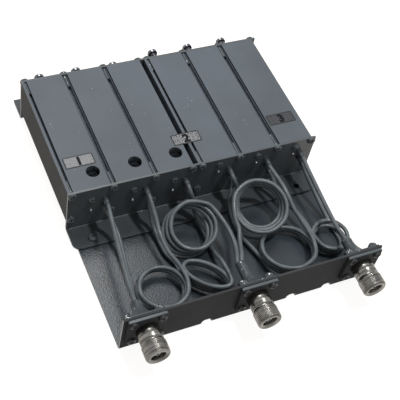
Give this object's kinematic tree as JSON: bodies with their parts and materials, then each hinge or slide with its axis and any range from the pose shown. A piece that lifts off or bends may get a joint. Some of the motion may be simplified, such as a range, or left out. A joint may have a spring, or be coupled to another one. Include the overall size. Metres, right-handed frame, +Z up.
{
  "type": "cavity duplexer",
  "caption": "Cavity duplexer: two finned extruded housings of coaxial cells on a folded tray, with coiled coax leads to square-flange jacks and rear tuning screws.",
  "frame": {"origin": "on the tray's underside, in the middle of the tray's width, in the plane of the front plate's outer face", "axes": "+Z up; -Y towards the jacks on the front wall; +Y towards the tuning screws; +X to the right seen from the jacks"},
  "size_m": [0.183, 0.2374, 0.0399],
  "materials": {
    "tray_paint": "hammered grey paint on folded sheet",
    "housing_finish": "grey semi-gloss finish on extruded aluminium",
    "plate_paint": "dark semi-gloss paint on sheet",
    "zinc_steel": "zinc-plated screws and nuts",
    "dark_steel": "dulled small screws and pins",
    "former_plastic": "white low-loss plastic",
    "copper": "bare copper",
    "ceramic": "glazed ceramic cup",
    "brass": "turned brass",
    "chrome": "polished chrome",
    "nickel": "nickel plate on turned brass",
    "hood_metal": "dull grey plated metal",
    "label_film": "worn white film label",
    "cable_jacket": "smooth grey cable jacket"
  },
  "bodies": {
    "housing_block": {"connector_tray": "tray_paint", "housing_low": "housing_finish", "housing_high": "housing_finish", "front_plate": "plate_paint", "rear_plate": "plate_paint", "front_plate_screws": "zinc_steel", "rear_plate_screws": "zinc_steel", "cell_screws": "dark_steel", "cell_pins": "dark_steel", "foot_screws": "zinc_steel", "resonator_formers": "former_plastic", "resonators_low": "copper", "resonators_high": "copper", "trimmer_bodies": "ceramic", "tuner_bushes": "brass", "lock_nuts": "zinc_steel", "cable_sleeves": "hood_metal", "jack_low": "nickel", "jack_antenna": "nickel", "jack_high": "nickel", "jack_insulators": "former_plastic", "jack_contacts": "brass", "hood_low": "hood_metal", "hood_antenna": "hood_metal", "hood_high": "hood_metal", "jack_screws": "zinc_steel", "jack_nuts": "zinc_steel", "label_low": "label_film", "label_antenna": "label_film", "label_high": "label_film", "cable_low_jack": "cable_jacket", "cable_cells_12": "cable_jacket", "cable_cells_23": "cable_jacket", "cable_cell_3_antenna": "cable_jacket", "cable_antenna_cell_4": "cable_jacket", "cable_cells_45": "cable_jacket", "cable_cells_56": "cable_jacket", "cable_high_jack": "cable_jacket"},
    "plunger_1": {"plunger_1": "copper"},
    "tuning_screw_1": {"tuning_screw_1": "chrome"},
    "plunger_2": {"plunger_2": "copper"},
    "tuning_screw_2": {"tuning_screw_2": "chrome"},
    "plunger_3": {"plunger_3": "copper"},
    "tuning_screw_3": {"tuning_screw_3": "chrome"},
    "plunger_4": {"plunger_4": "copper"},
    "tuning_screw_4": {"tuning_screw_4": "chrome"},
    "plunger_5": {"plunger_5": "copper"},
    "tuning_screw_5": {"tuning_screw_5": "chrome"},
    "plunger_6": {"plunger_6": "copper"},
    "tuning_screw_6": {"tuning_screw_6": "chrome"},
    "trimmer_1": {"trimmer_1": "brass"},
    "trimmer_2": {"trimmer_2": "brass"},
    "trimmer_3": {"trimmer_3": "brass"}
  },
  "joints": [
    {"name": "plunger_1_slide", "type": "slide", "parent": "housing_block", "child": "plunger_1", "axis": [0, 1, 0], "range_m": [-0.0024, 0.0024]},
    {"name": "tuning_screw_1_turn", "type": "hinge", "parent": "plunger_1", "child": "tuning_screw_1", "pos_m": [-0.07545, 0.1, 0.025], "axis": [0, 1, 0], "range_deg": [-1081, 1081]},
    {"name": "plunger_2_slide", "type": "slide", "parent": "housing_block", "child": "plunger_2", "axis": [0, 1, 0], "range_m": [-0.0024, 0.0024]},
    {"name": "tuning_screw_2_turn", "type": "hinge", "parent": "plunger_2", "child": "tuning_screw_2", "pos_m": [-0.04825, 0.1, 0.025], "axis": [0, 1, 0], "range_deg": [-1081, 1081]},
    {"name": "plunger_3_slide", "type": "slide", "parent": "housing_block", "child": "plunger_3", "axis": [0, 1, 0], "range_m": [-0.0024, 0.0024]},
    {"name": "tuning_screw_3_turn", "type": "hinge", "parent": "plunger_3", "child": "tuning_screw_3", "pos_m": [-0.02045, 0.1, 0.025], "axis": [0, 1, 0], "range_deg": [-1081, 1081]},
    {"name": "plunger_4_slide", "type": "slide", "parent": "housing_block", "child": "plunger_4", "axis": [0, 1, 0], "range_m": [-0.0024, 0.0024]},
    {"name": "tuning_screw_4_turn", "type": "hinge", "parent": "plunger_4", "child": "tuning_screw_4", "pos_m": [0.01295, 0.1, 0.025], "axis": [0, 1, 0], "range_deg": [-1081, 1081]},
    {"name": "plunger_5_slide", "type": "slide", "parent": "housing_block", "child": "plunger_5", "axis": [0, 1, 0], "range_m": [-0.0024, 0.0024]},
    {"name": "tuning_screw_5_turn", "type": "hinge", "parent": "plunger_5", "child": "tuning_screw_5", "pos_m": [0.04085, 0.1, 0.025], "axis": [0, 1, 0], "range_deg": [-1081, 1081]},
    {"name": "plunger_6_slide", "type": "slide", "parent": "housing_block", "child": "plunger_6", "axis": [0, 1, 0], "range_m": [-0.0024, 0.0024]},
    {"name": "tuning_screw_6_turn", "type": "hinge", "parent": "plunger_6", "child": "tuning_screw_6", "pos_m": [0.06895, 0.1, 0.025], "axis": [0, 1, 0], "range_deg": [-1081, 1081]},
    {"name": "trimmer_1_turn", "type": "hinge", "parent": "housing_block", "child": "trimmer_1", "pos_m": [-0.0717, 0.0141, 0.035], "axis": [0, 0, 1], "continuous": true},
    {"name": "trimmer_2_turn", "type": "hinge", "parent": "housing_block", "child": "trimmer_2", "pos_m": [-0.0426, 0.0141, 0.035], "axis": [0, 0, 1], "continuous": true},
    {"name": "trimmer_3_turn", "type": "hinge", "parent": "housing_block", "child": "trimmer_3", "pos_m": [-0.0135, 0.0141, 0.035], "axis": [0, 0, 1], "continuous": true}
  ],
  "couplings": [
    {"joint": "tuning_screw_1_turn", "follows": "plunger_1_slide", "rad_per_m": 7854},
    {"joint": "tuning_screw_2_turn", "follows": "plunger_2_slide", "rad_per_m": 7854},
    {"joint": "tuning_screw_3_turn", "follows": "plunger_3_slide", "rad_per_m": 7854},
    {"joint": "tuning_screw_4_turn", "follows": "plunger_4_slide", "rad_per_m": 7854},
    {"joint": "tuning_screw_5_turn", "follows": "plunger_5_slide", "rad_per_m": 7854},
    {"joint": "tuning_screw_6_turn", "follows": "plunger_6_slide", "rad_per_m": 7854}
  ]
}
